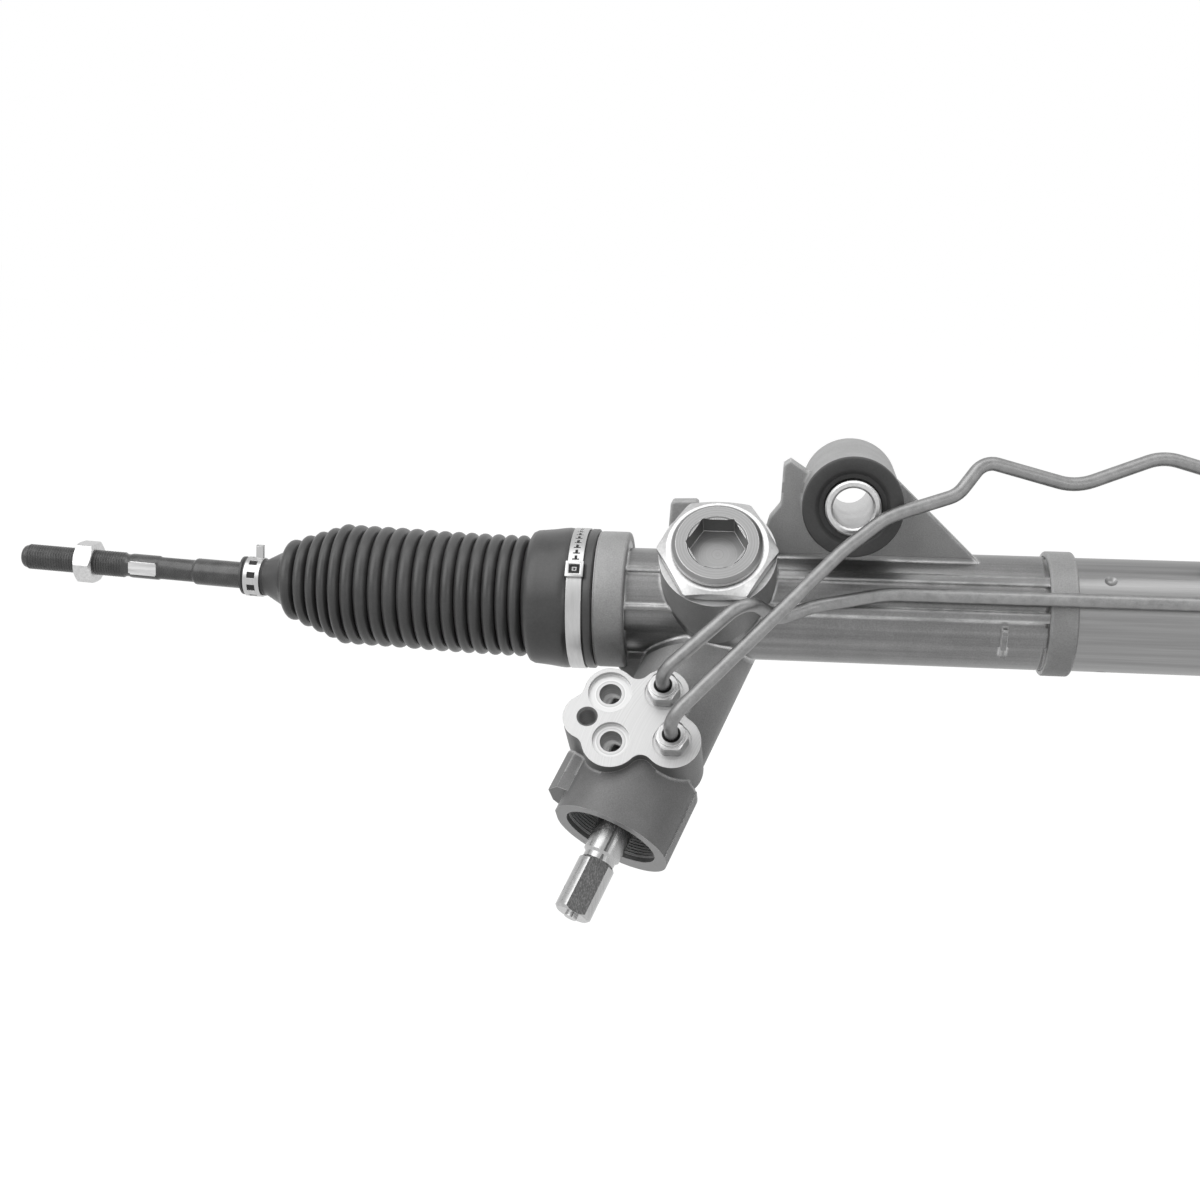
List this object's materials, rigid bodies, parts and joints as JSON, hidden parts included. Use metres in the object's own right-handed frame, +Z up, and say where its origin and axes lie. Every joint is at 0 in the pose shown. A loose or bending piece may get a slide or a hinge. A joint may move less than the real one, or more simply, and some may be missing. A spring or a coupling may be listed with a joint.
{
  "type": "steering rack",
  "caption": "Hydraulic rack and pinion steering gear with a slanted valve housing, port block, bushed mounts, bellows boots and threaded tie rods.",
  "frame": {"origin": "centre of the left mount bush's bore, on its axis", "axes": "+X along the rack towards the right tie rod, +Y along the mount bores towards the vehicle's body, +Z up"},
  "size_m": [1.179, 0.1583, 0.2268],
  "materials": {
    "cast": "grained casting, machined where pieces seat",
    "machined_aluminium": "turned",
    "tube_steel": "drawn tube, satin",
    "zinc_steel": "zinc plated, satin",
    "bright_steel": "ground",
    "stainless": "stainless strip",
    "bush_rubber": "matt",
    "boot_rubber": "satin",
    "seal_rubber": "matt",
    "bearing_plastic": "matt"
  },
  "bodies": {
    "housing": {"rack_housing": "cast", "cylinder_tube": "tube_steel", "inner_bulkhead": "machined_aluminium", "inner_rack_seal": "seal_rubber", "cylinder_end_cap": "machined_aluminium", "outer_rack_seal": "seal_rubber", "rack_bushing": "bearing_plastic", "cylinder_port_bosses": "tube_steel", "right_mount_bracket": "tube_steel", "left_bush_rubber": "bush_rubber", "left_bush_sleeve": "zinc_steel", "right_bush_rubber": "bush_rubber", "right_bush_sleeve": "zinc_steel", "rack_yoke": "machined_aluminium", "yoke_liner": "bearing_plastic", "yoke_spring": "zinc_steel", "yoke_plug": "machined_aluminium", "yoke_locknut": "zinc_steel", "yoke_oring": "seal_rubber", "lower_ball_bearing": "bright_steel", "pinion_end_cap": "zinc_steel", "upper_needle_bearing": "bright_steel", "pinion_seal": "seal_rubber", "input_bearing": "bright_steel", "input_seal": "seal_rubber", "mouth_snap_ring": "bright_steel", "near_pipe": "zinc_steel", "far_pipe": "zinc_steel", "line_nuts": "zinc_steel", "left_boot": "boot_rubber", "left_boot_band": "stainless", "right_boot": "boot_rubber", "right_boot_band": "stainless"},
    "rack": {"rack_bar": "bright_steel", "piston": "bright_steel", "piston_ring": "bearing_plastic", "left_ball_socket": "zinc_steel", "left_ball_seat": "bearing_plastic", "left_lock_washer": "zinc_steel", "right_ball_socket": "zinc_steel", "right_ball_seat": "bearing_plastic", "right_lock_washer": "zinc_steel"},
    "pinion": {"pinion_gear": "bright_steel", "pinion_nut": "zinc_steel", "valve_sleeve": "bright_steel", "sleeve_rings": "bearing_plastic"},
    "input_shaft": {"input_shaft": "bright_steel", "torsion_bar": "bright_steel", "torsion_pin": "bright_steel"},
    "left_tie_rod": {"left_tie_rod": "zinc_steel", "left_jam_nut": "zinc_steel", "left_boot_clip": "stainless"},
    "right_tie_rod": {"right_tie_rod": "zinc_steel", "right_jam_nut": "zinc_steel", "right_boot_clip": "stainless"}
  },
  "joints": [
    {"name": "rack_slide", "type": "slide", "parent": "housing", "child": "rack", "axis": [1, 0, 0], "range_m": [-0.065, 0.065], "deforming": ["left_boot", "right_boot"]},
    {"name": "pinion_turn", "type": "hinge", "parent": "housing", "child": "pinion", "pos_m": [-0.0657, 0.01167, -0.06911], "axis": [-0.3584, -0.6247, -0.6938], "range_deg": [-485, 485]},
    {"name": "input_shaft_twist", "type": "hinge", "parent": "pinion", "child": "input_shaft", "pos_m": [-0.0657, 0.01167, -0.06911], "axis": [-0.3584, -0.6247, -0.6938], "range_deg": [-6, 6], "stiffness_Nm_per_rad": 100},
    {"name": "left_tie_rod_swing", "type": "hinge", "parent": "rack", "child": "left_tie_rod", "pos_m": [-0.214, 0, -0.0586], "axis": [0, 1, 0], "range_deg": [-25.24, 18.76], "deforming": ["left_boot"]},
    {"name": "right_tie_rod_swing", "type": "hinge", "parent": "rack", "child": "right_tie_rod", "pos_m": [0.4926, 0, -0.0586], "axis": [0, 1, 0], "range_deg": [-18.76, 25.24], "deforming": ["right_boot"]}
  ],
  "couplings": [
    {"joint": "pinion_turn", "follows": "rack_slide", "rad_per_m": -129.66}
  ]
}
